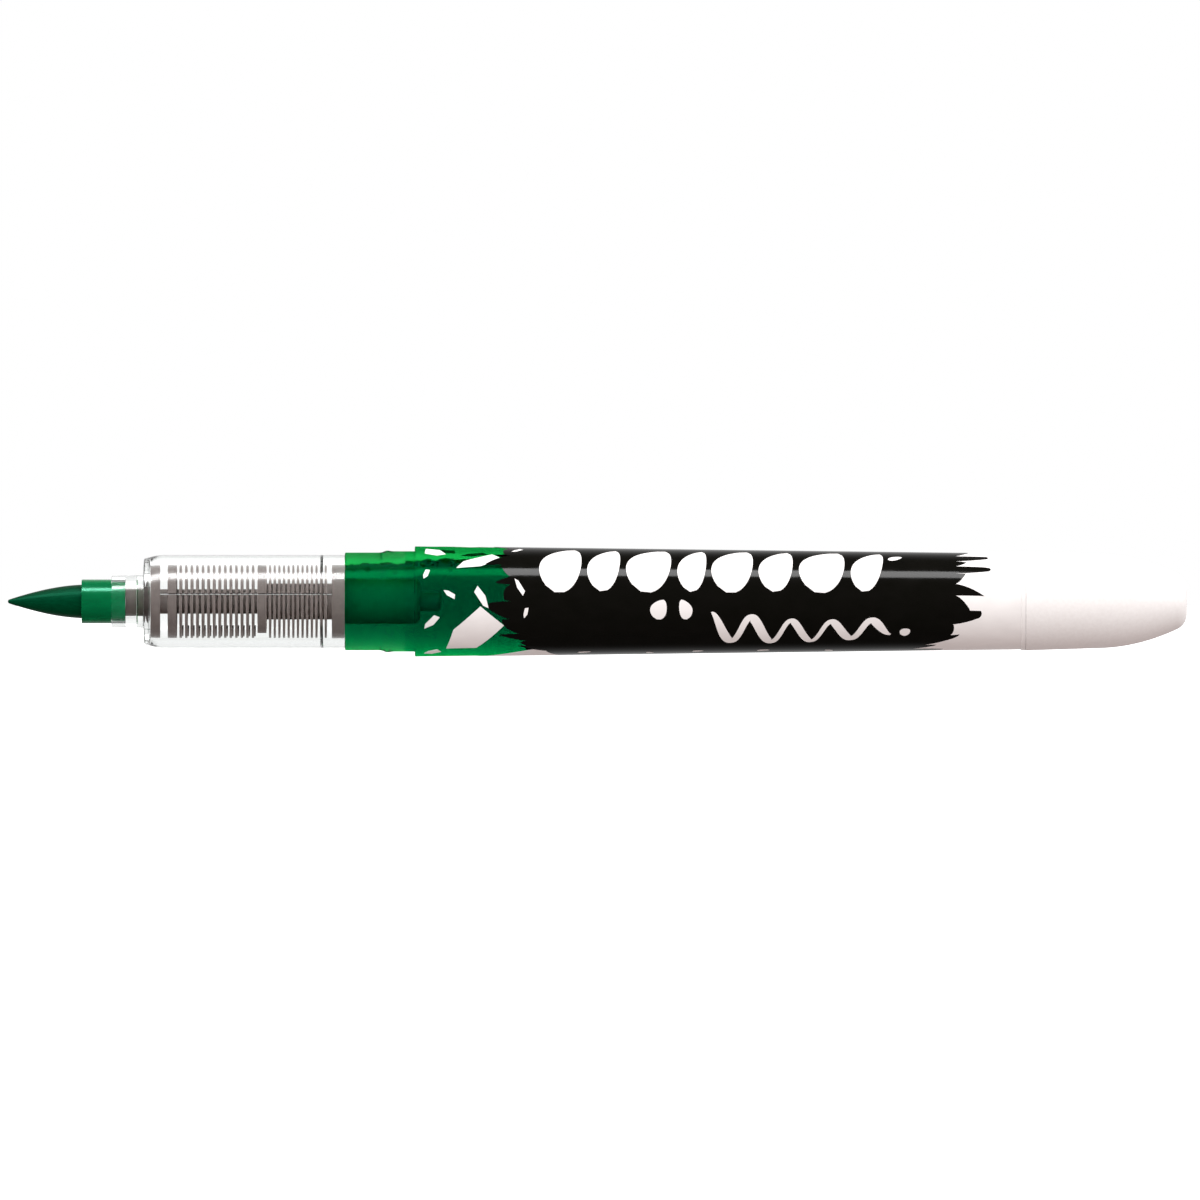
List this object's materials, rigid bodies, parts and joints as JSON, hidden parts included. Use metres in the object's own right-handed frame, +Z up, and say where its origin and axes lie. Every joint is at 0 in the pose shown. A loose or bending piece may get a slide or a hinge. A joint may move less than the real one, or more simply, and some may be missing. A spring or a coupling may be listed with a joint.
{
  "type": "brush pen",
  "caption": "Uncapped brush pen: tapered fibre brush tip, clear grip showing a finned ink feed, and a tapered barrel that is the ink tank, closed by a rounded end plug.",
  "frame": {"origin": "on the pen's axis, halfway along its length", "axes": "+X along the axis towards the rear plug, so the brush tip points to -X; +Z is up as the pen lies"},
  "size_m": [0.135, 0.0128, 0.0128],
  "materials": {
    "nib_fibre": "matte",
    "holder_plastic": "gloss",
    "clear_plastic": "gloss",
    "feed_plastic": "satin",
    "ink": "gloss",
    "barrel_plastic": "gloss",
    "print": "gloss",
    "plug_plastic": "satin"
  },
  "bodies": {
    "pen": {"nib_root": "nib_fibre", "nib_holder": "holder_plastic", "front_section": "clear_plastic", "feed_comb": "feed_plastic", "relay_wick": "nib_fibre", "ink_charge": "ink", "barrel": "barrel_plastic", "print_film": "print", "rear_plug": "plug_plastic"},
    "brush_tip": {"brush_tip": "nib_fibre"}
  },
  "joints": [
    {"name": "tip_flex", "type": "hinge", "parent": "pen", "child": "brush_tip", "pos_m": [-0.05875, 0, 0], "axis": [0, 1, 0], "range_deg": [-20, 20], "stiffness_Nm_per_rad": 0.016}
  ]
}
